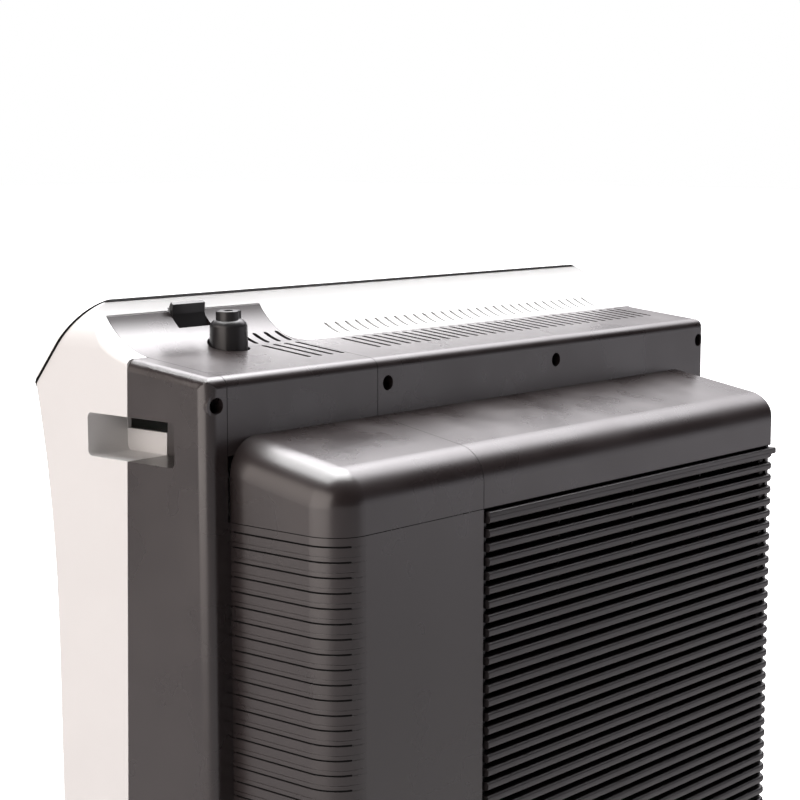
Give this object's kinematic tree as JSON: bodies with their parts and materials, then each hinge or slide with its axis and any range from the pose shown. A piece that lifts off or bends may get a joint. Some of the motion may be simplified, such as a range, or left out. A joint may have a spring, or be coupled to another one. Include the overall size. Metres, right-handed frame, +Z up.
{
  "type": "oxygen concentrator",
  "caption": "Stationary oxygen concentrator: slim upright housing, slanted control fascia, flow knob, hand grips, ledge vents and a rounded rear box with a lift-off louvre.",
  "frame": {"origin": "middle of the footprint, on the floor under the rubber feet", "axes": "+Z up; the control fascia faces -Y, the rear box and its louvre +Y; +X is the side with the knob's cover"},
  "size_m": [0.466, 0.2142, 0.62],
  "materials": {
    "white_shell": "satin gloss",
    "fascia_white": "gloss",
    "black_joint": "matt",
    "display_glass": "gloss",
    "circuit_board": "solder mask",
    "dark_satin": "fine satin texture",
    "louvre_dark": "satin",
    "knob_black": "satin",
    "rocker_black": "gloss",
    "button_grey": "satin",
    "foam_black": "open-cell foam",
    "steel": "turned",
    "brass_body": "machined",
    "filter_white": "matt",
    "plate_steel": "zinc-plated sheet",
    "foot_rubber": "matt",
    "cast_alloy": "cast",
    "inner_plastic": "moulded",
    "hose_silicone": "translucent"
  },
  "bodies": {
    "housing": {"front_shell": "white_shell", "outlet_cup": "white_shell", "control_fascia": "fascia_white", "fascia_gasket": "black_joint", "display_window": "display_glass", "display_board": "circuit_board", "control_board": "circuit_board", "side_cover": "dark_satin", "rear_housing": "dark_satin", "rear_cap_main": "dark_satin", "ribbed_panel": "dark_satin", "lower_rear_cover": "dark_satin", "switch_housing": "knob_black", "power_inlet": "knob_black", "circuit_breaker": "knob_black", "oxygen_outlet": "knob_black", "rocker_pin": "steel", "cover_screws": "steel", "foot_screws": "steel", "flow_valve_body": "brass_body", "bacteria_filter": "filter_white", "intake_silencer": "filter_white", "base_plate": "plate_steel", "bulkhead": "plate_steel", "compressor_tray": "plate_steel", "power_supply": "plate_steel", "rubber_feet": "foot_rubber", "isolation_mounts": "foot_rubber", "compressor_crankcase": "cast_alloy", "cylinder_heads": "cast_alloy", "cylinder_sleeves": "cast_alloy", "pistons": "cast_alloy", "motor_stator": "cast_alloy", "valve_manifold": "cast_alloy", "bed_end_caps": "cast_alloy", "sieve_bed_a": "cast_alloy", "sieve_bed_b": "cast_alloy", "cooling_coil": "cast_alloy", "fan_frame": "inner_plastic", "product_tank": "inner_plastic", "exhaust_muffler": "inner_plastic", "valve_solenoids": "inner_plastic", "product_hose": "hose_silicone"},
    "corner_cover": {"corner_panel": "dark_satin", "rear_cap_corner": "dark_satin", "catch_pin": "steel"},
    "catch": {"catch": "knob_black"},
    "louvre": {"louvre_panel": "louvre_dark", "intake_foam": "foam_black"},
    "knob": {"flow_knob": "knob_black", "valve_stem": "steel"},
    "power_button": {"power_button": "button_grey"},
    "alarm_mute_button": {"alarm_mute_button": "button_grey"},
    "timer_down_button": {"timer_down_button": "button_grey"},
    "timer_up_button": {"timer_up_button": "button_grey"},
    "mains_rocker": {"rocker_switch": "rocker_black"},
    "cabinet_fan": {"fan_rotor": "inner_plastic"},
    "crank": {"crankshaft": "steel", "compressor_fan": "inner_plastic"}
  },
  "joints": [
    {"name": "corner_cover_lift", "type": "slide", "parent": "housing", "child": "corner_cover", "axis": [0, 0, 1], "range_m": [0, 0.05]},
    {"name": "catch_hinge", "type": "hinge", "parent": "corner_cover", "child": "catch", "pos_m": [0.1615, -0.05685, 0.599], "axis": [-1, 0, 0], "range_deg": [0, 10], "stiffness_Nm_per_rad": 0.05, "springref_deg": -11.46},
    {"name": "louvre_lift_off", "type": "slide", "parent": "housing", "child": "louvre", "axis": [0, 1, 0], "range_m": [0, 0.06]},
    {"name": "flow_knob_turn", "type": "hinge", "parent": "housing", "child": "knob", "pos_m": [0.156, -0.03285, 0.58], "axis": [0, 0, 1], "range_deg": [-270, 0]},
    {"name": "mains_rocker_tilt", "type": "hinge", "parent": "housing", "child": "mains_rocker", "pos_m": [0.111, 0.09615, 0.092], "axis": [1, 0, 0], "range_deg": [-18, 0]},
    {"name": "cabinet_fan_spin", "type": "hinge", "parent": "housing", "child": "cabinet_fan", "pos_m": [0, 0.03015, 0.33], "axis": [0, 1, 0], "continuous": true},
    {"name": "crank_spin", "type": "hinge", "parent": "housing", "child": "crank", "pos_m": [0, 0.05915, 0.112], "axis": [1, 0, 0], "continuous": true},
    {"name": "power_button_press", "type": "slide", "parent": "housing", "child": "power_button", "axis": [0, 0.7638, -0.6455], "range_m": [0, 0.0012], "stiffness_N_per_m": 400, "springref_m": -0.002},
    {"name": "alarm_mute_button_press", "type": "slide", "parent": "housing", "child": "alarm_mute_button", "axis": [0, 0.7638, -0.6455], "range_m": [0, 0.0012], "stiffness_N_per_m": 400, "springref_m": -0.002},
    {"name": "timer_down_button_press", "type": "slide", "parent": "housing", "child": "timer_down_button", "axis": [0, 0.7638, -0.6455], "range_m": [0, 0.0012], "stiffness_N_per_m": 400, "springref_m": -0.002},
    {"name": "timer_up_button_press", "type": "slide", "parent": "housing", "child": "timer_up_button", "axis": [0, 0.7638, -0.6455], "range_m": [0, 0.0012], "stiffness_N_per_m": 400, "springref_m": -0.002}
  ]
}
